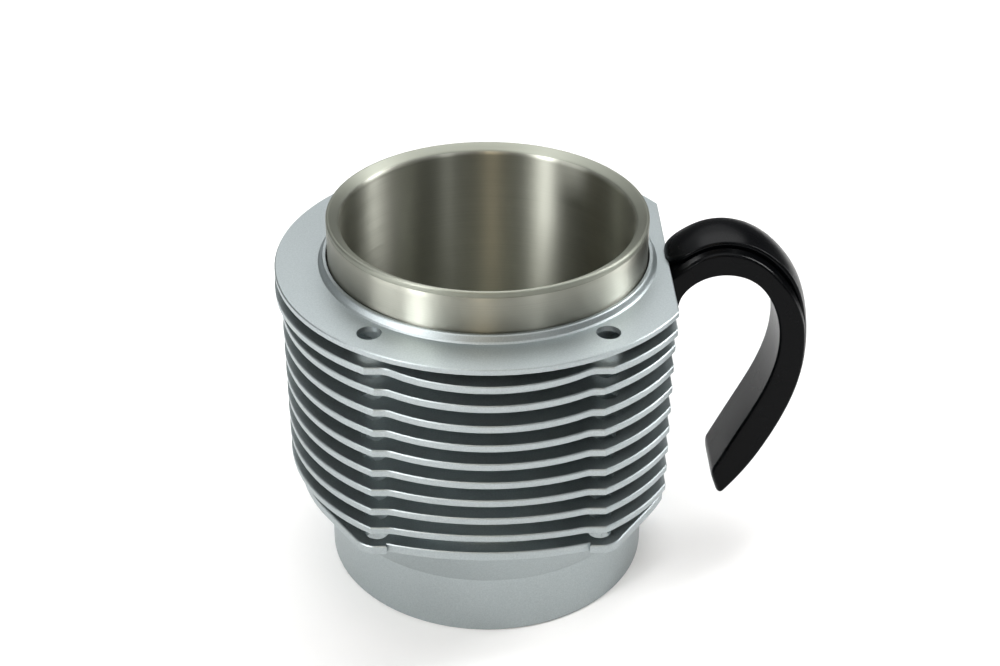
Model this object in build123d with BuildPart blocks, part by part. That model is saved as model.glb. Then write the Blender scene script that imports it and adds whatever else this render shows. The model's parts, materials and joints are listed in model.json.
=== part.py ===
from build123d import *
import os

# Drinking mug in the shape of an air-cooled engine cylinder.
#
# A finned aluminium barrel carries a double-walled steel cup, a closed floor
# and a black hook handle.  Millimetres, +Z up, the origin on the table at the
# axis of the cup, the handle towards +X.

os.makedirs("parts", exist_ok=True)

# ---------------------------------------------------------------- dimensions
# cup
cup_r = 41.0
cup_top = 101.85
cup_bottom = 8.5
cup_inner_r = 37.5
shell_wall = 0.7
cup_floor_top = 13.2
floor_corner_r = 8.0
seam_z = 100.4
neck_rise = 2.0
lip_fall = 0.95
lip_edge_r = 0.6
lip_inner_x = 0.9
lip_inner_drop = 1.5
cup_foot_r = 0.5
base_disc_z = 10.0
base_disc_t = 0.8
dimple_r = 3.0
dimple_depth = 0.4
gasket_top = 90.2
gasket_bottom = 86.0

# barrel
bore_r = 41.4
root_r = 43.3
skirt_r = 43.3
flange_r = 54.5
flange_top = 89.15
flange_t = 1.45
collar_top = 91.0
collar_top_r = 42.5
collar_foot_r = 43.1
collar_slope = 0.4
collar_edge = 0.25
bore_edge = 0.15
flat_x = 46.4
stud_x = 28.5
stud_y = 38.1
stud_hole_r = 3.0
chamfer_edge = 0.25
merge = 0.5

# fins: one every fin_pitch below the flange
fin_count = 9
fin_t = 2.05
fin_first_top = 84.3
fin_pitch = 6.14
fin_r = 53.35
fin_first_r = 54.7
fin_crest_gap = 0.2
notch_x = 24.5
notch_round = 5.0
notch_y = 44.1
notch_slope = 0.034

# lowest plate and the taper down to the skirt
plate_top = 29.1
plate_t = 2.4
plate_side_r = 51.2
plate_crest = 46.9
crest_slope = 0.1345
plate_front_x = 25.8
plate_front_y = 43.1
lobe_r = 6.1
taper_top_r = 46.4
taper_bottom_z = 17.0

# floor of the barrel
ledge_top = 7.3
ledge_bottom = 4.3
ledge_r = 33.0
support_r = 36.5
floor_t = 2.5
floor_r = 41.3
floor_screw_circle = 37.2
floor_screw_count = 4
floor_screw_r = 1.5
floor_head_r = 2.9
floor_head_t = 1.4
screw_gap = 0.2
hex_r = 1.15
hex_depth = 1.2
pad_r = 31.5
skirt_chamfer = 0.4
pad_chamfer = 0.4

# handle
handle_half = 8.6
cap_half = 6.9
cap_side = 1.6
cap_crown = 1.1
cap_under = 0.6
cap_end_x = 45.5
cap_end_round = 5.5
cap_reach = 50.0
rib_rise = 1.65
grip_foot = 73.0
grip_foot_x = 48.5
tip_inner = (61.4, 25.8)
tip_slope = (0.942, 0.336)
tip_round = 1.4
grip_edge_round = 1.0
cap_edge_round = 0.5

# saddle that ties the handle to the barrel
saddle_half = 10.0
saddle_bottom = 72.0
handle_screw_y = 5.0
handle_screw_z = 84.6
handle_screw_r = 1.5
handle_screw_end = 50.4
handle_head_r = 2.9
handle_head_t = 1.5
handle_head_x = 41.5
saddle_pocket = 15.0

base_up = (Align.CENTER, Align.CENTER, Align.MIN)
head_down = (Align.CENTER, Align.CENTER, Align.MAX)


def front_crest(z):
    """Distance from the axis to the middle of the front edge at height z."""
    return plate_crest + crest_slope * (z - plate_top)


def notch_depth(z):
    """Distance from the axis plane to the straight notch beside each stud."""
    return notch_y + notch_slope * (z - plate_top)


studs = [(x, y) for x in (-stud_x, stud_x) for y in (-stud_y, stud_y)]
fin_tops = [fin_first_top - fin_pitch * number for number in range(fin_count)]
handle_screw_heads = [
    Location((handle_head_x, side * handle_screw_y, handle_screw_z), (0, 90, 0)) for side in (-1, 1)
]

# ------------------------------------------------------------- finned barrel
with BuildPart() as barrel:
    for number, top in enumerate(fin_tops):
        side_r = fin_first_r if number == 0 else fin_r
        crest = min(front_crest(top), side_r - fin_crest_gap)
        notch = notch_depth(top)
        with BuildSketch(Plane.XY.offset(top - fin_t)) as fin_outline:
            Circle(side_r)
            Rectangle(2 * side_r, 2 * notch, mode=Mode.INTERSECT)
            for side in (-1, 1):
                with BuildLine():
                    ThreePointArc((-notch_x, side * notch), (0, side * crest), (notch_x, side * notch))
                    Line((notch_x, side * notch), (-notch_x, side * notch))
                make_face()
            inner_corners = [v for v in fin_outline.vertices() if abs(abs(v.X) - notch_x) < 0.01]
            fillet(inner_corners, notch_round)
            with Locations((flat_x + flange_r / 2, 0)):
                Rectangle(flange_r, 3 * flange_r, mode=Mode.SUBTRACT)
            with Locations(*studs):
                Circle(stud_hole_r, mode=Mode.SUBTRACT)
        extrude(amount=fin_t)
        fin_faces = [f for f in barrel.faces(Select.LAST) if f.geom_type == GeomType.PLANE]
        fin_faces = [f for f in fin_faces if f.bounding_box().size.Z < 0.01]
        chamfer([e for f in fin_faces for e in f.outer_wire().edges()], chamfer_edge)

    # flange under the collar, with one flat on the handle side
    with BuildSketch(Plane.XY.offset(flange_top - flange_t)):
        Circle(flange_r)
        with Locations((flat_x + flange_r / 2, 0)):
            Rectangle(flange_r, 3 * flange_r, mode=Mode.SUBTRACT)
        with Locations(*studs):
            Circle(stud_hole_r, mode=Mode.SUBTRACT)
    extrude(amount=flange_t)
    top_face = barrel.faces(Select.LAST).sort_by(Axis.Z)[-1]
    chamfer(top_face.outer_wire().edges(), chamfer_edge)

    # lowest plate: a lobe round each stud, long side arcs and shallow fronts
    lobe_y = stud_y + lobe_r
    with BuildSketch(Plane.XY.offset(plate_top - plate_t)):
        Circle(plate_side_r)
        with Locations(*studs):
            Circle(lobe_r)
        make_hull()
        Rectangle(3 * flange_r, 2 * lobe_y, mode=Mode.INTERSECT)
        for side in (-1, 1):
            with Locations((0, side * (plate_front_y + lobe_y) / 2)):
                Rectangle(2 * plate_front_x, lobe_y - plate_front_y, mode=Mode.SUBTRACT)
            with BuildLine():
                ThreePointArc(
                    (-plate_front_x, side * plate_front_y),
                    (0, side * plate_crest),
                    (plate_front_x, side * plate_front_y),
                )
                Line((plate_front_x, side * plate_front_y), (-plate_front_x, side * plate_front_y))
            make_face()
        with Locations((flat_x + flange_r / 2, 0)):
            Rectangle(flange_r, 3 * flange_r, mode=Mode.SUBTRACT)
        with Locations(*studs):
            Circle(stud_hole_r, mode=Mode.SUBTRACT)
    extrude(amount=plate_t)
    top_face = barrel.faces(Select.LAST).sort_by(Axis.Z)[-1]
    chamfer(top_face.outer_wire().edges(), chamfer_edge)

    # root wall, collar, skirt and the taper under the lowest plate
    with BuildSketch(Plane.XZ):
        with BuildLine():
            Polyline(
                (bore_r, 0),
                (skirt_r, 0),
                (skirt_r, taper_bottom_z),
                (taper_top_r, plate_top - plate_t),
                (taper_top_r, plate_top - plate_t + merge),
                (root_r, plate_top - plate_t + merge),
                (root_r, flange_top - merge),
                (collar_foot_r + collar_slope, flange_top - merge),
                (collar_foot_r + collar_slope, flange_top),
                (collar_foot_r, flange_top + collar_slope),
                (collar_top_r, collar_top - collar_edge),
                (collar_top_r - collar_edge, collar_top),
                (bore_r + bore_edge, collar_top),
                (bore_r, collar_top - bore_edge),
                (bore_r, 0),
            )
        make_face()
    revolve(axis=Axis.Z)
    chamfer(barrel.edges().group_by(Axis.Z)[0], skirt_chamfer)

    # the stud holes run on down through the widest part of the taper
    with BuildSketch(Plane.XY.offset(taper_bottom_z)):
        with Locations(*studs):
            Circle(stud_hole_r)
    extrude(amount=plate_top - taper_bottom_z, mode=Mode.SUBTRACT)

    # the flange disc and the fins still close the bore: open it
    with BuildSketch(Plane.XY.offset(ledge_top)):
        Circle(bore_r)
    extrude(amount=collar_top, mode=Mode.SUBTRACT)

    # ledge that carries the cup, with the threads for the floor screws
    with BuildSketch(Plane.XY.offset(ledge_bottom)):
        Circle(bore_r + merge)
        Circle(ledge_r, mode=Mode.SUBTRACT)
        with PolarLocations(floor_screw_circle, floor_screw_count, start_angle=45):
            Circle(floor_screw_r, mode=Mode.SUBTRACT)
    extrude(amount=ledge_top - ledge_bottom)

    # pocket for the handle saddle, milled through the fins on the flat side
    with BuildSketch(Plane.XY.offset(saddle_bottom)):
        with Locations((root_r + saddle_pocket / 2, 0)):
            Rectangle(2 * saddle_pocket, 2 * saddle_half)
        Circle(root_r, mode=Mode.SUBTRACT)
    extrude(amount=flange_top - flange_t - saddle_bottom, mode=Mode.SUBTRACT)

    # countersunk holes for the handle screws, drilled from inside the bore
    with Locations(*handle_screw_heads):
        Cylinder(handle_screw_r, flat_x - handle_head_x, align=base_up, mode=Mode.SUBTRACT)
        Cylinder(handle_head_r, handle_head_t, align=head_down, mode=Mode.SUBTRACT)
        Cone(handle_head_r, handle_screw_r, handle_head_t, align=base_up, mode=Mode.SUBTRACT)

barrel.part.label = "barrel"
export_step(barrel.part, "parts/barrel.step")

# ---------------------------------------------------------------- steel cup
outer_floor_r = cup_inner_r + shell_wall - floor_corner_r
under_floor_z = cup_floor_top - shell_wall
lip_start = (cup_inner_r + lip_inner_x, cup_top - lip_fall)
lip_end = (cup_inner_r, cup_top - lip_fall - lip_inner_drop)

with BuildPart() as inner_shell:
    with BuildSketch(Plane.XZ):
        with BuildLine():
            Line((0, under_floor_z), (outer_floor_r, under_floor_z))
            RadiusArc(
                (outer_floor_r, under_floor_z),
                (cup_inner_r + shell_wall, under_floor_z + floor_corner_r),
                -floor_corner_r,
            )
            Polyline(
                (cup_inner_r + shell_wall, under_floor_z + floor_corner_r),
                (cup_inner_r + shell_wall, seam_z - neck_rise),
                (cup_r - shell_wall, seam_z),
                (cup_r, seam_z),
                (cup_r, cup_top - lip_edge_r),
            )
            RadiusArc((cup_r, cup_top - lip_edge_r), (cup_r - lip_edge_r, cup_top), -lip_edge_r)
            Line((cup_r - lip_edge_r, cup_top), lip_start)
            Spline(lip_start, lip_end, tangents=[(-3.0, -1.0), (0, -1)])
            Line(lip_end, (cup_inner_r, under_floor_z + floor_corner_r))
            RadiusArc(
                (cup_inner_r, under_floor_z + floor_corner_r),
                (outer_floor_r, cup_floor_top),
                floor_corner_r - shell_wall,
            )
            Polyline((outer_floor_r, cup_floor_top), (0, cup_floor_top), (0, under_floor_z))
        make_face()
    revolve(axis=Axis.Z)
inner_shell.part.label = "cup_inner_shell"
export_step(inner_shell.part, "parts/cup_inner_shell.step")

with BuildPart() as outer_shell:
    with BuildSketch(Plane.XY.offset(cup_bottom)):
        Circle(cup_r)
        Circle(cup_r - shell_wall, mode=Mode.SUBTRACT)
    extrude(amount=seam_z - cup_bottom)
    fillet(outer_shell.edges().group_by(Axis.Z)[0].sort_by(SortBy.RADIUS)[-1], cup_foot_r)
outer_shell.part.label = "cup_outer_shell"
export_step(outer_shell.part, "parts/cup_outer_shell.step")

with BuildPart() as base_disc:
    with BuildSketch(Plane.XY.offset(base_disc_z)):
        Circle(cup_r - shell_wall)
    extrude(amount=base_disc_t)
    # dimple in the middle, where the space between the walls was sealed
    with BuildSketch(Plane.XY.offset(base_disc_z)):
        Circle(dimple_r)
    extrude(amount=dimple_depth, mode=Mode.SUBTRACT)
base_disc.part.label = "cup_base_disc"
export_step(base_disc.part, "parts/cup_base_disc.step")

# ------------------------------------------------------------------- gaskets
with BuildPart() as rim_gasket:
    with BuildSketch(Plane.XY.offset(gasket_bottom)):
        Circle(bore_r)
        Circle(cup_r, mode=Mode.SUBTRACT)
    extrude(amount=gasket_top - gasket_bottom)
rim_gasket.part.label = "rim_gasket"
export_step(rim_gasket.part, "parts/rim_gasket.step")

with BuildPart() as support_ring:
    with BuildSketch(Plane.XY.offset(ledge_top)):
        Circle(bore_r)
        Circle(support_r, mode=Mode.SUBTRACT)
    extrude(amount=cup_bottom - ledge_top)
support_ring.part.label = "cup_support_ring"
export_step(support_ring.part, "parts/cup_support_ring.step")

# --------------------------------------------------------------------- floor
with BuildPart() as floor_plate:
    with BuildSketch(Plane.XY.offset(ledge_bottom - floor_t)):
        Circle(floor_r)
        with PolarLocations(floor_screw_circle, floor_screw_count, start_angle=45):
            Circle(floor_screw_r, mode=Mode.SUBTRACT)
    extrude(amount=floor_t)
    with Locations((0, 0, ledge_bottom - floor_t)):
        with PolarLocations(floor_screw_circle, floor_screw_count, start_angle=45):
            Cone(floor_head_r, floor_screw_r, floor_head_t, align=base_up, mode=Mode.SUBTRACT)
floor_plate.part.label = "floor_plate"
export_step(floor_plate.part, "parts/floor_plate.step")

with BuildPart() as floor_screws:
    with Locations((0, 0, ledge_bottom - floor_t)):
        with PolarLocations(floor_screw_circle, floor_screw_count, start_angle=45):
            Cone(floor_head_r, floor_screw_r, floor_head_t, align=base_up)
            Cylinder(floor_screw_r, ledge_top - ledge_bottom + floor_t - screw_gap, align=base_up)
    with BuildSketch(Plane.XY.offset(ledge_bottom - floor_t)):
        with PolarLocations(floor_screw_circle, floor_screw_count, start_angle=45):
            RegularPolygon(hex_r, 6)
    extrude(amount=hex_depth, mode=Mode.SUBTRACT)
floor_screws.part.label = "floor_screws"
export_step(floor_screws.part, "parts/floor_screws.step")

with BuildPart() as base_pad:
    with BuildSketch():
        Circle(pad_r)
    extrude(amount=ledge_bottom - floor_t)
    chamfer(base_pad.edges().group_by(Axis.Z)[0], pad_chamfer)
base_pad.part.label = "base_pad"
export_step(base_pad.part, "parts/base_pad.step")

# -------------------------------------------------------------------- handle
grip_inner = [
    (grip_foot_x, grip_foot), (49.3, 80.5), (54.6, 86.0), (61.0, 87.4), (67.9, 85.3), (73.8, 77.8),
    (76.1, 66.8), (74.6, 56.3), (68.1, 40.2), (60.7, 23.6),
]
grip_outer = [
    (60.6, 14.3), (64.6, 18.6), (67.2, 21.6), (70.0, 25.7), (74.6, 33.8), (78.1, 41.8), (80.6, 49.5),
    (82.3, 57.2), (82.8, 64.7), (81.7, 73.1), (78.7, 80.5), (73.3, 87.7), (66.7, 92.2), (59.4, 93.1),
    (51.9, 90.3), (flat_x, 86.0),
]
crown_line = [
    (42.8, 87.8), (46.2, 91.0), (50.0, 93.8), (54.5, 96.2), (60.0, 97.3), (67.2, 96.0), (74.9, 91.0),
    (80.6, 83.2), (83.5, 73.5), (84.4, 63.5), (83.5, 54.2), (80.8, 44.7), (76.2, 33.9), (70.8, 24.4),
    (62.2, 13.3),
]

with BuildLine(Plane.XZ) as crown_path:
    Spline(*crown_line)
crown = crown_path.line
section_plane = Plane(origin=crown @ 0, x_dir=(0, 1, 0), z_dir=crown % 0)
tip_plane = Plane(origin=(tip_inner[0], 0, tip_inner[1]), z_dir=(tip_slope[0], 0, tip_slope[1]))
# heights in the section, measured from the crown down into the hook
inward = -1 if section_plane.y_dir.Z > 0 else 1
cap_foot = cap_half - cap_under
cap_shoulder = inward * cap_crown
cap_seat = inward * (cap_crown + cap_side)
rib_edge = inward * (cap_crown + cap_side + rib_rise)
rib_depth = inward * (cap_crown + cap_side + rib_rise + 2 * merge)

with BuildPart() as cap:
    with BuildSketch(section_plane):
        with BuildLine():
            ThreePointArc((-cap_half, cap_shoulder), (0, 0), (cap_half, cap_shoulder))
            Polyline(
                (cap_half, cap_shoulder),
                (cap_foot, cap_seat),
                (-cap_foot, cap_seat),
                (-cap_half, cap_shoulder),
            )
        make_face()
    sweep(path=crown)
    # the end over the flange is round in plan and sits on top of it
    with BuildSketch() as cap_plan:
        with Locations((cap_end_x + cap_reach / 2, 0)):
            RectangleRounded(cap_reach, 2 * cap_half + merge, cap_end_round)
    extrude(amount=cup_top, mode=Mode.INTERSECT)
    with BuildSketch(Plane.XY.offset(flange_top)):
        Rectangle(2 * flat_x, 4 * cap_half)
    extrude(amount=-flange_top, mode=Mode.SUBTRACT)
    split(bisect_by=tip_plane, keep=Keep.TOP)
    fillet(cap.edges().sort_by(SortBy.LENGTH)[-2:], cap_edge_round)
cap.part.label = "handle_cap"
export_step(cap.part, "parts/handle_cap.step")

with BuildPart() as core:
    with BuildSketch(Plane.XZ):
        with BuildLine():
            Spline(*grip_inner)
            Line(grip_inner[-1], grip_outer[0])
            Spline(*grip_outer)
            Polyline(grip_outer[-1], (flat_x, grip_foot), grip_inner[0])
        make_face()
    extrude(amount=handle_half, both=True)
    split(bisect_by=tip_plane, keep=Keep.TOP)
    across = core.edges().filter_by(Axis.Y)
    fillet(across.sort_by_distance((tip_inner[0], 0, tip_inner[1]))[0], tip_round)
    flanks = core.faces().filter_by(Axis.Y)
    fillet([flank.edges().sort_by(SortBy.LENGTH)[-2] for flank in flanks], grip_edge_round)
    # sloping shoulder that carries the cap
    with BuildSketch(section_plane):
        with BuildLine():
            Polyline(
                (-cap_half, cap_seat),
                (cap_half, cap_seat),
                (handle_half, rib_edge),
                (handle_half, rib_depth),
                (-handle_half, rib_depth),
                (-handle_half, rib_edge),
                (-cap_half, cap_seat),
            )
        make_face()
    sweep(path=crown)
    with BuildSketch():
        Rectangle(2 * flat_x, 4 * handle_half)
    extrude(amount=cup_top, mode=Mode.SUBTRACT)
    split(bisect_by=tip_plane, keep=Keep.TOP)
    add(cap.part, mode=Mode.SUBTRACT)
    with Locations(*handle_screw_heads):
        Cylinder(
            handle_screw_r, handle_screw_end - handle_head_x, align=base_up, mode=Mode.SUBTRACT
        )
core.part.label = "handle_core"
export_step(core.part, "parts/handle_core.step")

# ------------------------------------------------------ saddle and its screws
with BuildPart() as saddle:
    with BuildSketch(Plane.XY.offset(saddle_bottom)):
        with Locations((flat_x - saddle_pocket / 2, 0)):
            Rectangle(saddle_pocket, 2 * saddle_half)
        Circle(root_r, mode=Mode.SUBTRACT)
    extrude(amount=flange_top - flange_t - saddle_bottom)
    with Locations(*handle_screw_heads):
        Cylinder(handle_screw_r, flat_x - handle_head_x, align=base_up, mode=Mode.SUBTRACT)
        Cone(handle_head_r, handle_screw_r, handle_head_t, align=base_up, mode=Mode.SUBTRACT)
saddle.part.label = "handle_saddle"
export_step(saddle.part, "parts/handle_saddle.step")

with BuildPart() as handle_screws:
    with Locations(*handle_screw_heads):
        Cone(handle_head_r, handle_screw_r, handle_head_t, align=base_up)
        Cylinder(handle_screw_r, handle_screw_end - handle_head_x, align=base_up)
        Cylinder(hex_r, hex_depth, align=base_up, mode=Mode.SUBTRACT)
handle_screws.part.label = "handle_screws"
export_step(handle_screws.part, "parts/handle_screws.step")
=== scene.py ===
# %% [markdown]
# # A finned drinking mug
#
# The mug is shaped like the cylinder of an air-cooled engine. A cast aluminium
# barrel with nine fins holds a double-walled steel cup, and a black hook handle
# is screwed to the one flat side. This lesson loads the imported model, adds the
# camera and lights, mixes one finish for each real material, and then makes
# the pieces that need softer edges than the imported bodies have.

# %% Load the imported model
import json
import math

import bpy
import numpy as np
from mathutils import Matrix, Vector


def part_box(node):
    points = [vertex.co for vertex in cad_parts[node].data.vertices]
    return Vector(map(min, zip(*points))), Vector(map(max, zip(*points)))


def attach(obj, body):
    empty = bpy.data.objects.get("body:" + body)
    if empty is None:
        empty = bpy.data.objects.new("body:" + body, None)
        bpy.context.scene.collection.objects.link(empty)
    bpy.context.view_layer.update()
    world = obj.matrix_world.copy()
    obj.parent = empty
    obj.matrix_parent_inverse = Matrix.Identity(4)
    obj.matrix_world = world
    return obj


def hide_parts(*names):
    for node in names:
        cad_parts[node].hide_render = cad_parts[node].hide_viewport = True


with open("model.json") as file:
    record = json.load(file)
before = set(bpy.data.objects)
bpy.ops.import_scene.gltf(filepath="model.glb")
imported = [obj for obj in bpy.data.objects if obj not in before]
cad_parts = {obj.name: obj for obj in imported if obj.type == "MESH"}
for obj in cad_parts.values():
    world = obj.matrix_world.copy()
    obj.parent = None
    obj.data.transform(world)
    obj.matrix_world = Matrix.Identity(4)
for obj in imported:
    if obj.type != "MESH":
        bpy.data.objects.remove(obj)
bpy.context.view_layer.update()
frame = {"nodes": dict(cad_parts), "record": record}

nodes = frame["nodes"]
scene = bpy.context.scene
MM = 0.001
print("nodes:", sorted(nodes))

# %% [markdown]
# ## The camera
#
# A short telephoto lens looks down on the mug from in front, so that the rim
# of the cup opens towards us and the fins stay level.
# A camera looks along its own -Z axis. Its place and its line of sight are
# kept as two points, and the small roll is a turn about that line.

# %% Place the camera
CAMERA_AT = Vector((-3.80, -372.13, 296.92)) * MM
SIGHT = Vector((0.01630, 0.84892, -0.52827)).normalized()
ROLL = 0.0077
LENS = 59.57


def camera_matrix(place, sight, roll):
    """Columns are right, up and minus the line of sight; right and up are
    turned by the roll about the line of sight."""
    right = sight.cross(Vector((0, 0, 1))).normalized()
    up = right.cross(sight)
    turned_right = right * math.cos(roll) + up * math.sin(roll)
    turned_up = up * math.cos(roll) - right * math.sin(roll)
    turned = Matrix((turned_right, turned_up, -sight)).transposed().to_4x4()
    return Matrix.Translation(place) @ turned


lens = bpy.data.cameras.new("studio_camera")
lens.lens = LENS
lens.clip_start = 0.01
camera = bpy.data.objects.new("studio_camera", lens)
camera.matrix_world = camera_matrix(CAMERA_AT, SIGHT, ROLL)
scene.collection.objects.link(camera)
scene.camera = camera
print("camera is", round((CAMERA_AT - Vector((0, 0, 0.05))).length, 3), "m away")

# %% [markdown]
# ## Floor and lights
#
# The mug stands on white paper under two large softboxes, set above it and
# behind it, so that its top is bright and its soft shadow falls forwards.
# Steel shows nothing of its own, only what stands round it, so the narrow
# boxes at the left, the right and the front, with a dim room between them,
# draw the bright upright bands inside the cup. A weak, soft sun adds some
# light to the floor further out, where the boxes no longer reach.

# %% Lay the floor
FLOOR_HALF = 6.0


def linear(hex_colour):
    """The linear colour of an sRGB hex value: each channel c becomes c / 12.92
    below 0.04045 and ((c + 0.055) / 1.055) to the power 2.4 above it."""
    c = np.array([int(hex_colour[i:i + 2], 16) / 255 for i in (0, 2, 4)])
    c = np.where(c < 0.04045, c / 12.92, ((c + 0.055) / 1.055) ** 2.4)
    return (*c.tolist(), 1.0)


def add_node(tree, kind, inputs=None, **settings):
    """One shader node. A value in inputs is set on its socket, and a pair of
    (node, output name) is linked to it."""
    node = tree.nodes.new(kind)
    for name, value in settings.items():
        setattr(node, name, value)
    for name, value in (inputs or {}).items():
        if isinstance(value, tuple) and isinstance(value[0], bpy.types.Node):
            tree.links.new(value[0].outputs[value[1]], node.inputs[name])
        else:
            node.inputs[name].default_value = value
    return node


def new_material(name):
    """An empty node material and its output node."""
    material = bpy.data.materials.new(name)
    material.use_nodes = True
    material.node_tree.nodes.clear()
    return material, material.node_tree


def finish_material(tree, shader):
    """Links a shader to the surface."""
    add_node(tree, "ShaderNodeOutputMaterial", {"Surface": (shader, "BSDF")})


def paper_white():
    """Matt white paper with a very slight cloudiness, 60 mm across."""
    material, tree = new_material("matt_white_paper")
    place = add_node(tree, "ShaderNodeTexCoord")
    cloud = add_node(tree, "ShaderNodeTexNoise", {
        "Vector": (place, "Object"), "Scale": 1 / (60 * MM)})
    tone = add_node(tree, "ShaderNodeMix", {"Factor": (cloud, "Fac")}, data_type="RGBA")
    tone.inputs["A"].default_value = linear("F4F4F4")
    tone.inputs["B"].default_value = linear("F7F7F7")
    shader = add_node(tree, "ShaderNodeBsdfPrincipled", {
        "Roughness": 0.9, "Specular IOR Level": 0.1})
    tree.links.new(tone.outputs["Result"], shader.inputs["Base Color"])
    finish_material(tree, shader)
    return material


corner = FLOOR_HALF * np.array([(-1, -1, 0), (1, -1, 0), (1, 1, 0), (-1, 1, 0)])
sheet = bpy.data.meshes.new("studio_floor")
sheet.from_pydata(corner.tolist(), [], [(0, 1, 2, 3)])
floor = bpy.data.objects.new("studio_floor", sheet)
floor.data.materials.append(paper_white())
scene.collection.objects.link(floor)
print("floor is", 2 * FLOOR_HALF, "m wide")

# %% Hang the lights
TARGET = Vector((0, 0, 0.06))


def softbox(name, azimuth, height, distance, width, tall, power, colour="FFFFFF"):
    """A rectangular light that faces the mug. Azimuth 0 is behind the mug and
    90 is on its right; height is the angle above the table."""
    a, h = math.radians(azimuth), math.radians(height)
    toward = Vector((math.sin(a) * math.cos(h), math.cos(a) * math.cos(h), math.sin(h)))
    lamp = bpy.data.lights.new(name, "AREA")
    lamp.shape = "RECTANGLE"
    lamp.size, lamp.size_y = width, tall
    lamp.energy = power
    lamp.color = linear(colour)[:3]
    box = bpy.data.objects.new(name, lamp)
    box.location = TARGET + toward * distance
    box.rotation_euler = toward.to_track_quat("Z", "Y").to_euler()
    scene.collection.objects.link(box)


softbox("overhead_box", 10, 84, 0.9, 1.2, 1.1, 3.9)
softbox("back_box", 8, 60, 0.85, 0.8, 0.5, 1.5)
softbox("left_front_box", 229, 32, 0.9, 0.15, 0.5, 4.2)
softbox("low_left_card", 250, 8, 0.9, 0.30, 0.15, 1.1)
softbox("right_box", 76, 34, 0.9, 0.12, 0.5, 3.6)
softbox("right_front_strip", 147, 34, 0.9, 0.05, 0.5, 0.5)
softbox("front_warm_card", 184, 36, 0.9, 0.10, 0.4, 0.6, "FFE9C8")

sun = bpy.data.lights.new("soft_sun", "SUN")
sun.energy = 0.7
sun.angle = math.radians(70)
sun_object = bpy.data.objects.new("soft_sun", sun)
sun_object.rotation_euler = Vector((-0.1, 0.6, 1)).to_track_quat("Z", "Y").to_euler()
scene.collection.objects.link(sun_object)

world = bpy.data.worlds.new("white_room")
scene.world = world
world.use_nodes = True
room = world.node_tree
room.nodes.clear()
ROOM_GLOW = 0.15
glow = add_node(room, "ShaderNodeBackground", {"Strength": ROOM_GLOW})
add_node(room, "ShaderNodeOutputWorld", {"Surface": (glow, "Background")})
# this look deepens the blacks; it changes renders, not the materials
scene.view_settings.view_transform = "Standard"
scene.view_settings.look = "Medium High Contrast"

# %% [markdown]
# ## Blasted and anodised aluminium
#
# The barrel is cast, machined, then blasted with fine glass beads and clear
# anodised. Blasting scatters the light, so the metal looks satin and nearly
# even from every side, with a fine sparkle in the grain. The grain of the
# beads is near 0.1 mm; it is drawn 0.4 mm wide so that it shows.

# %% Mix the blasted aluminium
MOTTLE_WIDE = 14


def blasted_aluminium(name, light, dark, grain_mm, rough):
    """Metal whose tone and slope follow a fine noise, over a broad mottle."""
    material, tree = new_material(name)
    place = add_node(tree, "ShaderNodeTexCoord")
    grain = add_node(tree, "ShaderNodeTexNoise", {
        "Vector": (place, "Object"), "Scale": 1 / (grain_mm * MM), "Detail": 3.0, "Roughness": 0.6})
    mottle = add_node(tree, "ShaderNodeTexNoise", {
        "Vector": (place, "Object"), "Scale": 1 / (MOTTLE_WIDE * MM), "Detail": 2.0})
    sparkle = add_node(tree, "ShaderNodeMapRange", {
        "Value": (grain, "Fac"), "From Min": 0.3, "From Max": 0.7})
    tone = add_node(tree, "ShaderNodeMix", {"Factor": (sparkle, "Result")}, data_type="RGBA")
    tone.inputs["A"].default_value = linear(dark)
    tone.inputs["B"].default_value = linear(light)
    gloss = add_node(tree, "ShaderNodeMapRange", {
        "Value": (mottle, "Fac"), "To Min": rough - 0.04, "To Max": rough + 0.04})
    bump = add_node(tree, "ShaderNodeBump", {
        "Height": (grain, "Fac"), "Strength": 0.25, "Distance": 0.02 * MM})
    shader = add_node(tree, "ShaderNodeBsdfPrincipled", {
        "Metallic": 1.0, "Roughness": (gloss, "Result"), "Normal": (bump, "Normal")})
    tree.links.new(tone.outputs["Result"], shader.inputs["Base Color"])
    finish_material(tree, shader)
    return material


barrel_metal = blasted_aluminium("blasted_anodised_aluminium", "B3BABB", "A5ACAE", 0.4, 0.47)
floor_metal = blasted_aluminium("rolled_aluminium_sheet", "C4C8C9", "B4B8BA", 0.8, 0.38)
print(barrel_metal.name, floor_metal.name)

# %% [markdown]
# ## Brushed stainless steel
#
# The cup is spun from stainless sheet and brushed while it turns, so fine
# scratches run round it. They spread a reflection along the axis and keep it
# sharp round the cup, which is why a lamp becomes an upright band. The UV map
# runs round the cup in u and along the wall in v, both in metres, so the
# scratches are a noise squeezed along v. Real ones are 0.05 mm apart and are
# drawn 0.25 mm apart. The lip is polished after brushing, but only to a satin.

# %% Mix the brushed steel
SCRATCH_LONG = 45


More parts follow.
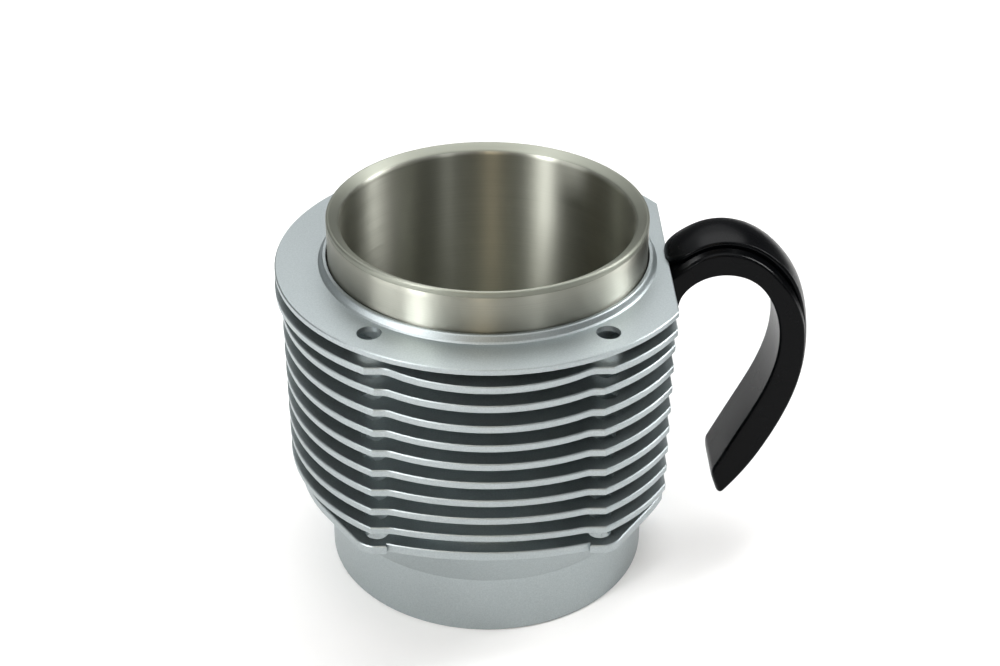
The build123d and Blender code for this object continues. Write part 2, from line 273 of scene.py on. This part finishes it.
def brushed_steel(name, light, dark, line_mm, rough, lean, along=0.25):
    """Metal with a noise stretched round the axis for tone, gloss and slope."""
    material, tree = new_material(name)
    sheet_uv = add_node(tree, "ShaderNodeUVMap", uv_map="round_and_along")
    squeezed = add_node(tree, "ShaderNodeMapping", {
        "Vector": (sheet_uv, "UV"), "Scale": (1 / (SCRATCH_LONG * MM), 1 / (line_mm * MM), 1.0)})
    scratch = add_node(tree, "ShaderNodeTexNoise", {
        "Vector": (squeezed, "Vector"), "Scale": 1.0, "Detail": 4.0, "Roughness": 0.7})
    tone = add_node(tree, "ShaderNodeMix", {"Factor": (scratch, "Fac")}, data_type="RGBA")
    tone.inputs["A"].default_value = linear(dark)
    tone.inputs["B"].default_value = linear(light)
    gloss = add_node(tree, "ShaderNodeMapRange", {
        "Value": (scratch, "Fac"), "From Min": 0.3, "From Max": 0.7,
        "To Min": rough - 0.09, "To Max": rough + 0.09})
    bump = add_node(tree, "ShaderNodeBump", {
        "Height": (scratch, "Fac"), "Strength": 0.40, "Distance": 0.01 * MM})
    lay = add_node(tree, "ShaderNodeTangent", direction_type="UV_MAP", uv_map="round_and_along")
    shader = add_node(tree, "ShaderNodeBsdfPrincipled", {
        "Metallic": 1.0, "Roughness": (gloss, "Result"), "Normal": (bump, "Normal"),
        "Anisotropic": lean, "Anisotropic Rotation": along, "Tangent": (lay, "Tangent")})
    tree.links.new(tone.outputs["Result"], shader.inputs["Base Color"])
    finish_material(tree, shader)
    return material


brushed_wall = brushed_steel("brushed_stainless_steel", "C2C3B9", "A4A59C", 0.25, 0.42, 0.95)
polished_lip = brushed_steel("polished_stainless_lip", "A3A59C", "92958B", 0.35, 0.50, 0.7)
screw_steel = blasted_aluminium("bright_rolled_screw_steel", "B9BABA", "A6A7A8", 0.5, 0.26)
print(brushed_wall.name, polished_lip.name, screw_steel.name)

# %% [markdown]
# ## Satin black nylon and rubber
#
# The handle is moulded from black glass-filled nylon in a mould with a fine
# satin texture. It is dark and even, and its sheen is broad and grey where it
# faces a lamp. Its refractive index is near 1.5, and its specular level was
# then lowered to bring its sheen near the real handle's. The gasket and the
# pad are black rubber, which has less gloss and about the same index. Both
# grains are finer than 0.1 mm; they are drawn 0.35 and 0.5 mm wide to show.

# %% Mix the blacks
FLOW_WIDE = 9
MOULDED_IOR = 1.5


def moulded_black(name, light, dark, grain_mm, rough, relief, shine):
    """Dark dielectric with a fine grain in its tone, gloss and slope."""
    material, tree = new_material(name)
    place = add_node(tree, "ShaderNodeTexCoord")
    grain = add_node(tree, "ShaderNodeTexNoise", {
        "Vector": (place, "Object"), "Scale": 1 / (grain_mm * MM), "Detail": 2.0})
    flow = add_node(tree, "ShaderNodeTexNoise", {
        "Vector": (place, "Object"), "Scale": 1 / (FLOW_WIDE * MM), "Detail": 2.0})
    tone = add_node(tree, "ShaderNodeMix", {"Factor": (grain, "Fac")}, data_type="RGBA")
    tone.inputs["A"].default_value = linear(dark)
    tone.inputs["B"].default_value = linear(light)
    gloss = add_node(tree, "ShaderNodeMapRange", {
        "Value": (flow, "Fac"), "To Min": rough - 0.03, "To Max": rough + 0.03})
    bump = add_node(tree, "ShaderNodeBump", {
        "Height": (grain, "Fac"), "Strength": relief, "Distance": 0.02 * MM})
    shader = add_node(tree, "ShaderNodeBsdfPrincipled", {
        "Roughness": (gloss, "Result"), "Normal": (bump, "Normal"), "IOR": MOULDED_IOR,
        "Specular IOR Level": shine})
    tree.links.new(tone.outputs["Result"], shader.inputs["Base Color"])
    finish_material(tree, shader)
    return material


handle_black = moulded_black("satin_black_nylon", "07090C", "040507", 0.35, 0.27, 0.10, 0.15)
black_rubber = moulded_black("black_rubber", "1E1E1F", "131314", 0.5, 0.72, 0.3, 0.4)
print(handle_black.name, black_rubber.name)

# %% [markdown]
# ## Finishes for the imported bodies
#
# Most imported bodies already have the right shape, so they keep it and only get
# a finish. The record names a material slot for each of them, and one table
# gives the finish of each slot. Their meshes stay as they were packed.

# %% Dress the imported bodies
FINISHES = {
    "barrel_metal": barrel_metal,
    "cup_steel": brushed_wall,
    "handle_black": handle_black,
    "floor_metal": floor_metal,
    "screw_steel": screw_steel,
    "black_rubber": black_rubber,
}
slot_of = {entry["node"]: entry["material_slot"] for entry in frame["record"]["subparts"]}
for node, body in nodes.items():
    for place in body.material_slots:
        place.material = FINISHES[slot_of[node]]
print("dressed:", slot_of)

# %% [markdown]
# ## From a grid of points to a mesh
#
# Every new piece is a surface worked out as one array of points, rows by
# columns. Each cell of the grid is a four-sided face. Columns may close on
# themselves, and a row of equal points becomes a pole when doubles are merged.
# The signed volume says whether the faces point outwards; if it is negative,
# each face is turned round.

# %% Make a surface from a grid
import bmesh


def add_surface(name, grid, uv, replaced, material, sharp=50):
    """grid is rows x columns x 3 in metres, closed in its columns. uv is rows
    x (columns + 1) x 2. Cell (i, j) joins rows i and i + 1 and columns j and
    j + 1, and the last column joins the first."""
    rows, columns = grid.shape[:2]
    i, j = np.meshgrid(np.arange(rows - 1), np.arange(columns), indexing="ij")
    after = (j + 1) % columns
    faces = np.stack([i * columns + j, i * columns + after, (i + 1) * columns + after,
                      (i + 1) * columns + j], -1).reshape(-1, 4)
    loop_uv = np.stack([uv[i, j], uv[i, j + 1], uv[i + 1, j + 1], uv[i + 1, j]], 2).reshape(-1, 2)
    points = grid.reshape(-1, 3)
    a, b, c, d = (points[faces[:, k]] for k in range(4))
    volume = (np.einsum("ij,ij->", a, np.cross(b, c)) + np.einsum("ij,ij->", a, np.cross(c, d))) / 6
    if volume < 0:
        faces = faces[:, ::-1]
        loop_uv = loop_uv.reshape(-1, 4, 2)[:, ::-1].reshape(-1, 2)
    mesh = bpy.data.meshes.new(name)
    mesh.from_pydata(points.tolist(), [], faces.tolist())
    layer = mesh.uv_layers.new(name="round_and_along")
    layer.data.foreach_set("uv", loop_uv.astype(np.float32).ravel())
    mesh.polygons.foreach_set("use_smooth", np.ones(len(faces), bool))
    merge_doubles(mesh)
    mesh.set_sharp_from_angle(angle=math.radians(sharp))
    piece = bpy.data.objects.new(name, mesh)
    scene.collection.objects.link(piece)
    mesh.materials.append(material)
    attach(piece, "root")
    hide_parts(*replaced)
    print(name, len(mesh.polygons), "faces,", round(abs(volume) / MM ** 3), "mm3")
    return piece


def merge_doubles(mesh):
    """Joins equal points, so that poles and seams are closed."""
    work = bmesh.new()
    work.from_mesh(mesh)
    bmesh.ops.remove_doubles(work, verts=work.verts, dist=1e-7)
    bmesh.ops.dissolve_degenerate(work, edges=work.edges, dist=1e-8)
    work.to_mesh(mesh)
    work.free()


def travelled(points):
    """The length along a line of points, from its first point to each."""
    steps = np.linalg.norm(np.diff(points, axis=0), axis=1)
    return np.concatenate([[0], np.cumsum(steps)])


def resample(points, where):
    """The points at the given shares, 0 to 1, of a line's length."""
    along = travelled(points)
    at = where * along[-1]
    return np.stack([np.interp(at, along, column) for column in points.T], 1)

# %% [markdown]
# ## The steel cup
#
# The cup is two thin shells that meet in a seam below the lip. What the eye
# sees is one turned profile: up the outer wall, over the polished lip that
# falls gently inwards, down the inner wall and across the floor. A profile
# turned round an axis is the point (r cos a, r sin a, z), so the grid is the
# profile down its rows and the angle across its columns.

# %% Turn the cup
def arc(centre, radius, start, end, count=8):
    """Points on a circle: centre plus radius times (cos, sin) of the angle."""
    angle = np.radians(np.linspace(start, end, count))
    return np.array(centre) + radius * np.stack([np.cos(angle), np.sin(angle)], 1)


def turn(profile, columns=256):
    """The grid and UV of a profile of (radius, height) turned round Z."""
    angle = np.linspace(0, 2 * np.pi, columns + 1)
    r, z = profile[:, :1], profile[:, 1:]
    ring = np.stack([r * np.cos(angle), r * np.sin(angle), z + 0 * angle], -1)
    mean_r = np.abs(r).max()
    uv = np.stack([angle * mean_r + 0 * r, travelled(profile)[:, None] + 0 * angle], -1)
    return ring[:, :-1] * MM, uv * MM


def dense(profile, step=2.0):
    """Adds points on the long straight runs of a profile, step mm apart."""
    along = travelled(profile)
    extra = np.arange(0, along[-1], step)
    where = np.unique(np.concatenate([along, extra]))
    return resample(profile, where / along[-1])


outer_lo, outer_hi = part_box("cup_outer_shell")
inner_lo, inner_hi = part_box("cup_inner_shell")
CUP_R = outer_hi.x / MM
CUP_TOP = inner_hi.z / MM
CUP_FOOT = outer_lo.z / MM
INNER_R = 37.5
SHEET_THICK = 0.7
FLOOR_Z = inner_lo.z / MM + SHEET_THICK
FLOOR_R = 7.3
SEAM_Z = outer_hi.z / MM
EDGE_R = 0.55
SEAM_DEEP, SEAM_HALF = 0.06, 0.12
# the foot is hollow underneath, inside a narrow ring with a sloping inner side
FOOT_UP, FOOT_RING, FOOT_SLOPE, FOOT_ROUND = 1.5, 2.0, 0.5, 0.5
# the floor rises very slightly towards its middle
MIDDLE_R, MIDDLE_EDGE_UP, MIDDLE_UP = 6.0, 0.15, 0.25
# the lip is a cone that falls inwards, so both of its arcs end on its slope
LIP_SLOPE = 30
LIP_ROUND = 1.75
LIP_DEEP = 2.63

cup_profile = np.concatenate([
    [(0, CUP_FOOT + FOOT_UP), (CUP_R - FOOT_RING - FOOT_SLOPE, CUP_FOOT + FOOT_UP),
     (CUP_R - FOOT_RING, CUP_FOOT)],
    arc((CUP_R - FOOT_ROUND, CUP_FOOT + FOOT_ROUND), FOOT_ROUND, -90, 0, 5),
    [(CUP_R, SEAM_Z - SEAM_HALF), (CUP_R - SEAM_DEEP, SEAM_Z), (CUP_R, SEAM_Z + SEAM_HALF)],
    arc((CUP_R - EDGE_R, CUP_TOP - EDGE_R), EDGE_R, 0, 90 + LIP_SLOPE, 12),
    arc((INNER_R + LIP_ROUND, CUP_TOP - LIP_DEEP), LIP_ROUND, 90 + LIP_SLOPE, 180, 12),
    arc((INNER_R - FLOOR_R, FLOOR_Z + FLOOR_R), FLOOR_R, 0, -90, 14),
    [(MIDDLE_R, FLOOR_Z + MIDDLE_EDGE_UP), (0, FLOOR_Z + MIDDLE_UP)],
])
cup_profile = dense(cup_profile)
cup_grid, cup_uv = turn(cup_profile)
cup = add_surface("steel_cup", cup_grid, cup_uv, ["cup_inner_shell", "cup_outer_shell"],
                  brushed_wall)
cup.data.materials.append(polished_lip)
LIP_TALL = 1.6
heights = np.array([p.center.z for p in cup.data.polygons]) / MM
cup.data.polygons.foreach_set("material_index", (heights > CUP_TOP - LIP_TALL).astype(np.int32))
cup.data.update()

# %% [markdown]
# ## The base pad
#
# A round rubber pad under the floor plate keeps the mug from sliding. Moulded
# pads have shallow rings, so that they grip and don't stick to a wet table.
# It is one more turned profile: the rings are a cosine of the radius.

# %% Turn the base pad
pad_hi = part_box("base_pad")[1]
PAD_R, PAD_TOP = pad_hi.x / MM, pad_hi.z / MM
RING_APART, RING_DEEP, RING_STEP = 4.0, 0.5, 0.4
PAD_EDGE = 0.4

ring_r = np.arange(0, PAD_R - RING_APART / 2, RING_STEP)
rings = np.stack([ring_r, RING_DEEP * (1 - np.cos(2 * np.pi * ring_r / RING_APART)) / 2], 1)
pad_profile = np.concatenate([
    rings,
    arc((PAD_R - PAD_EDGE, PAD_EDGE), PAD_EDGE, -90, 0, 6),
    arc((PAD_R - PAD_EDGE / 2, PAD_TOP - PAD_EDGE / 2), PAD_EDGE / 2, 0, 90, 5),
    [(0, PAD_TOP)],
])
pad_grid, pad_uv = turn(pad_profile, 160)
add_surface("ribbed_base_pad", pad_grid, pad_uv, ["base_pad"], black_rubber)

# %% [markdown]
# ## The hook handle
#
# The handle is two mouldings. The core is the black hook itself, 17 mm wide,
# with rounded inner edges and a sloping shoulder on each side of its back. The
# cap is a crowned strip that lies on the back of the core, and its sides lean
# inwards so that a dark groove runs along it. Both are one section carried
# along the hook: at each station a straight rib joins the crown line to the
# inner line, and a section point is a share of the way along the rib, and so
# many millimetres to the side.

# %% Draw the lines of the hook
def through(points, count=400):
    """A natural cubic spline through points: on each run the second
    derivative changes evenly from one knot's value to the next, and these
    values make the slope continuous."""
    p = np.array(points, float)
    t = travelled(p)
    h = np.diff(t)
    n = len(p)
    system = np.eye(n)
    right = np.zeros((n, p.shape[1]))
    k = np.arange(1, n - 1)
    system[k, k - 1], system[k, k], system[k, k + 1] = h[:-1], 2 * (h[:-1] + h[1:]), h[1:]
    slope = np.diff(p, axis=0) / h[:, None]
    right[1:-1] = 6 * np.diff(slope, axis=0)
    bend = np.linalg.solve(system, right)
    at = np.linspace(0, t[-1], count)
    i = np.clip(np.searchsorted(t, at, side="right") - 1, 0, n - 2)
    a, b, w = (t[i + 1] - at)[:, None], (at - t[i])[:, None], h[i][:, None]
    from_knot, to_knot = p[i] / w - bend[i] * w / 6, p[i + 1] / w - bend[i + 1] * w / 6
    return (bend[i] * a ** 3 + bend[i + 1] * b ** 3) / (6 * w) + from_knot * a + to_knot * b


# points are (x, z) in mm, from the root to beyond the tip
FLAT_X = 46.4
INNER_LINE = [(48.5, 73.0), (49.3, 80.5), (54.6, 86.0), (61.0, 87.4), (67.9, 85.3), (73.8, 77.8),
              (76.1, 66.8), (74.6, 56.3), (68.1, 40.2), (59.6, 21.6)]
CROWN_LINE = [(42.8, 87.8), (46.2, 91.0), (50.0, 93.8), (54.5, 96.2), (60.0, 97.3), (67.2, 96.0),
              (74.9, 91.0), (80.6, 83.2), (83.5, 73.5), (84.4, 63.5), (83.5, 54.2), (80.8, 44.7),
              (76.2, 33.9), (70.8, 24.4), (62.2, 13.3)]
# a point on the tip's face, and the normal that points back into the hook
TIP_AT = np.array((60.8, 25.6))
TIP_NORMAL = np.array((0.942, 0.336))


def before_tip(line):
    """The part of a line on the near side of the tip's face."""
    side = (line - TIP_AT) @ TIP_NORMAL
    end = np.flatnonzero(side > 0)[-1]
    share = side[end] / (side[end] - side[end + 1])
    return np.concatenate([line[:end + 1], [line[end] + share * (line[end + 1] - line[end])]])


crown = before_tip(through(CROWN_LINE))
inner = np.concatenate([[(FLAT_X, INNER_LINE[0][1])], before_tip(through(INNER_LINE))])
print("crown", round(travelled(crown)[-1], 1), "mm")
print("inner line", round(travelled(inner)[-1], 1), "mm")

# %% Carry a section along the hook
HALF = 8.6
TIP_ROUND = 2.4


def ribs(crown_part, inner_part, share):
    """For shares 0 to 1 of both lines: the crown point, the unit vector from it
    to the inner line, the rib's length, and how much longer a depth gets when
    it is measured along the slanting rib: one over the cosine of the rib's
    angle to the crown line's normal, and at most 2."""
    top = resample(crown_part, share)
    bottom = resample(inner_part, share)
    length = np.linalg.norm(bottom - top, axis=1)
    down = (bottom - top) / length[:, None]
    step = np.gradient(top, axis=0)
    step /= np.linalg.norm(step, axis=1)[:, None]
    normal = np.stack([step[:, 1], -step[:, 0]], 1)
    slant = 1 / np.clip(np.abs((down * normal).sum(1)), 0.5, 1)
    return top, down, length, slant


def stations(length, count=150):
    """Shares of a line from root to tip, and how far the section is drawn in
    at each: over the last TIP_ROUND mm the share goes as the sine of an angle
    and the drawing-in as one minus its cosine, so the tip is a quarter
    circle."""
    reach = TIP_ROUND / length
    quarter = np.radians(np.linspace(0, 90, 8))
    body = np.linspace(0, 1 - reach, count)
    share = np.concatenate([body[:-1], 1 - reach * (1 - np.sin(quarter))])
    drawn_in = np.concatenate([np.zeros(count - 1), TIP_ROUND * (1 - np.cos(quarter))])
    return share, drawn_in


def carry(side, depth, rib, drawn_in):
    """side and depth are stations x points in mm. Each point lies depth along
    its rib and side across it, drawn in towards the middle of the section."""
    top, down, length, _ = rib
    keep_side = 1 - drawn_in / HALF
    keep_deep = 1 - 2 * drawn_in / length
    middle = length / 2
    side = side * keep_side[:, None]
    depth = middle[:, None] + (depth - middle[:, None]) * keep_deep[:, None]
    flat = top[:, None, :] + down[:, None, :] * depth[..., None]
    return np.stack([flat[..., 0], side, flat[..., 1]], -1)


def close_ends(grid):
    """Adds the middle of the first and last section as poles."""
    first = np.repeat(grid[:1].mean(1, keepdims=True), grid.shape[1], 1)
    last = np.repeat(grid[-1:].mean(1, keepdims=True), grid.shape[1], 1)
    return np.concatenate([first, grid, last])


def closed_uv(grid):
    """u is the length round a middle section, v the length along the back."""
    middle = grid[len(grid) // 2]
    u = travelled(np.concatenate([middle, middle[:1]]))
    v = travelled(grid[:, 0])
    return np.stack(np.broadcast_arrays(u[None, :], v[:, None]), -1) * MM


def whole_section(side, depth):
    """A half section from the middle of the back to the middle of the inside,
    and the same mirrored back again, as one closed loop."""
    return (np.concatenate([side, -side[:, -2:0:-1]], 1),
            np.concatenate([depth, depth[:, -2:0:-1]], 1))


# %% Draw the section of the core
CAP_HALF, CAP_SEAT, CAP_LEAN, CROWN_FALL = 6.9, 2.7, 0.6, 1.1
CAP_EDGE = 0.7
CAP_END_X, CAP_END_ROUND, CAP_END_DROP = 45.5, 5.5, 1.0
SHOULDER_DEEP, SHOULDER_LOW = 4.35, 1.45
GROOVE_LOW, GROOVE_GAP = 1.2, 0.12
SHOULDER_FULL_Z, SHOULDER_GONE_Z = 88.0, 70.0
SHOULDER_ROUND, SHOULDER_DROP, GRIP_ROUND = 0.8, 0.1, 1.0
FLANGE_TOP = 89.15


def shoulder_share(top):
    """1 from the root to the highest station, and after it a smooth step from
    1 to 0 with falling height: 3 t squared minus 2 t cubed."""
    t = (top[:, 1] - SHOULDER_GONE_Z) / (SHOULDER_FULL_Z - SHOULDER_GONE_Z)
    t = np.clip(t, 0, 1)
    before_apex = np.arange(len(top)) < top[:, 1].argmax()
    return np.where(before_apex, 1.0, t * t * (3 - 2 * t))


def core_section(rib):
    """Seat, groove wall, sloping shoulder, flank, rounded inner edge and inner
    face. The shoulder is deep at the top of the hook and runs out below."""
    top, _, length, slant = rib
    full = shoulder_share(top)[:, None]
    slant = slant[:, None]
    one = np.ones_like(full)
    groove = (GROOVE_LOW + (CAP_SEAT - GROOVE_LOW) * full) * slant
    edge = (SHOULDER_LOW + (SHOULDER_DEEP - SHOULDER_LOW) * full) * slant
    wall = np.array([0.0, 0.1, 0.5, 0.9, 1.0])
    foot_x, brow_x = CAP_HALF - CAP_LEAN + GROOVE_GAP, CAP_HALF + GROOVE_GAP
    seat_side = one * foot_x * np.linspace(0, 0.98, 6)
    seat_deep = CAP_SEAT * slant + 0 * seat_side
    wall_side = one * (foot_x + (brow_x - foot_x) * wall)
    wall_deep = CAP_SEAT * slant + (groove - CAP_SEAT * slant) * wall
    fall = np.linspace(0.04, 1, 6)
    slope_side = one * (brow_x + (HALF - SHOULDER_ROUND - brow_x) * fall)
    slope_deep = groove + (edge - SHOULDER_ROUND * full - groove) * fall
    bow = np.radians(np.linspace(25, 90, 5))
    bow_side = one * (HALF - SHOULDER_ROUND + SHOULDER_ROUND * np.sin(bow))
    bow_deep = slope_deep[:, -1:] + SHOULDER_ROUND * (1 - np.cos(bow)) + SHOULDER_DROP * full
    flank_long = length[:, None] - GRIP_ROUND - bow_deep[:, -1:]
    flank = bow_deep[:, -1:] + flank_long * np.linspace(0.06, 0.97, 8)
    turn_in = np.radians(np.linspace(0, 90, 9))
    round_side = one * (HALF - GRIP_ROUND + GRIP_ROUND * np.cos(turn_in))
    round_deep = length[:, None] - GRIP_ROUND + GRIP_ROUND * np.sin(turn_in)
    face_side = one * (HALF - GRIP_ROUND) * np.linspace(0.95, 0, 8)
    face_deep = length[:, None] + 0 * face_side
    return whole_section(
        np.concatenate([seat_side, wall_side, slope_side, bow_side, one * np.full(8, HALF),
                        round_side, face_side], 1),
        np.concatenate([seat_deep, wall_deep, slope_deep, bow_deep, flank,
                        round_deep, face_deep], 1))


# %% Draw the section of the cap
def cap_section(rib):
    """Crowned back, small rounded edge, side that leans in, and seat. The crown
    falls as the square of the distance from the middle. Near the root the half
    width and the drop each follow a quarter circle, which rounds its end."""
    top, _, _, slant = rib
    from_end = np.clip(top[:, 0] - CAP_END_X, 0, None)
    near = CAP_END_ROUND - np.clip(from_end, 0, CAP_END_ROUND)
    half = CAP_HALF - CAP_END_ROUND + np.sqrt(CAP_END_ROUND ** 2 - near ** 2)
    half = np.where(np.arange(len(half)) > len(half) // 2, CAP_HALF, half)[:, None]
    far = CAP_END_DROP - np.clip(from_end, 0, CAP_END_DROP)
    drop = CAP_END_DROP - np.sqrt(CAP_END_DROP ** 2 - far ** 2)
    drop = np.where(np.arange(len(drop)) > len(drop) // 2, 0, drop)[:, None]
    reach = half - CAP_EDGE
    crown_side = reach * np.linspace(0, 1, 16)
    crown_deep = CROWN_FALL * (crown_side / CAP_HALF) ** 2
    beta = np.radians(np.linspace(12, 98, 8))
    edge_side = reach + CAP_EDGE * np.sin(beta)
    edge_deep = crown_deep[:, -1:] + CAP_EDGE * (1 - np.cos(beta))
    lean = np.linspace(0.15, 1, 4)
    wall_side = edge_side[:, -1:] + (half - CAP_LEAN - edge_side[:, -1:]) * lean
    wall_deep = edge_deep[:, -1:] + (CAP_SEAT - edge_deep[:, -1:]) * lean
    seat_side = (half - CAP_LEAN) * np.linspace(0.85, 0, 6)
    seat_deep = CAP_SEAT + 0 * seat_side
    side = np.concatenate([crown_side, edge_side, wall_side, seat_side], 1)
    depth = slant[:, None] * np.concatenate([crown_deep, edge_deep, wall_deep, seat_deep], 1) + drop
    # over the flange the cap ends on its top face
    room = np.where(top[:, :1] < FLAT_X, top[:, 1:] - FLANGE_TOP, np.inf)
    return whole_section(side, np.minimum(depth, room))


def from_x(line, x):
    """The part of a line past a value of x near its start, cut exactly."""
    k = np.flatnonzero(line[:len(line) // 3, 0] < x)[-1]
    share = (x - line[k, 0]) / (line[k + 1, 0] - line[k, 0])
    return np.concatenate([[line[k] + share * (line[k + 1] - line[k])], line[k + 1:]])


# %% Make the two mouldings
hook_share, drawn_in = stations(travelled(crown)[-1])
core_rib = ribs(from_x(crown, FLAT_X), inner, hook_share)
core_grid = close_ends(carry(*core_section(core_rib), core_rib, drawn_in))
add_surface("handle_hook", core_grid * MM, closed_uv(core_grid), ["handle_core"],
            handle_black, sharp=30)

# stations crowd together over the rounded end of the cap
CROWDED_SHARE = 0.06
start = hook_share[-1] * CROWDED_SHARE * np.linspace(0, 1, 30)[:-1] ** 2
crowd = np.concatenate([start, hook_share[hook_share > CROWDED_SHARE]])
cap_drawn = np.interp(crowd, hook_share, drawn_in)
cap_rib = ribs(from_x(crown, CAP_END_X), inner, crowd)
cap_grid = close_ends(carry(*cap_section(cap_rib), cap_rib, cap_drawn))
add_surface("handle_back_strip", cap_grid * MM, closed_uv(cap_grid), ["handle_cap"],
            handle_black, sharp=30)
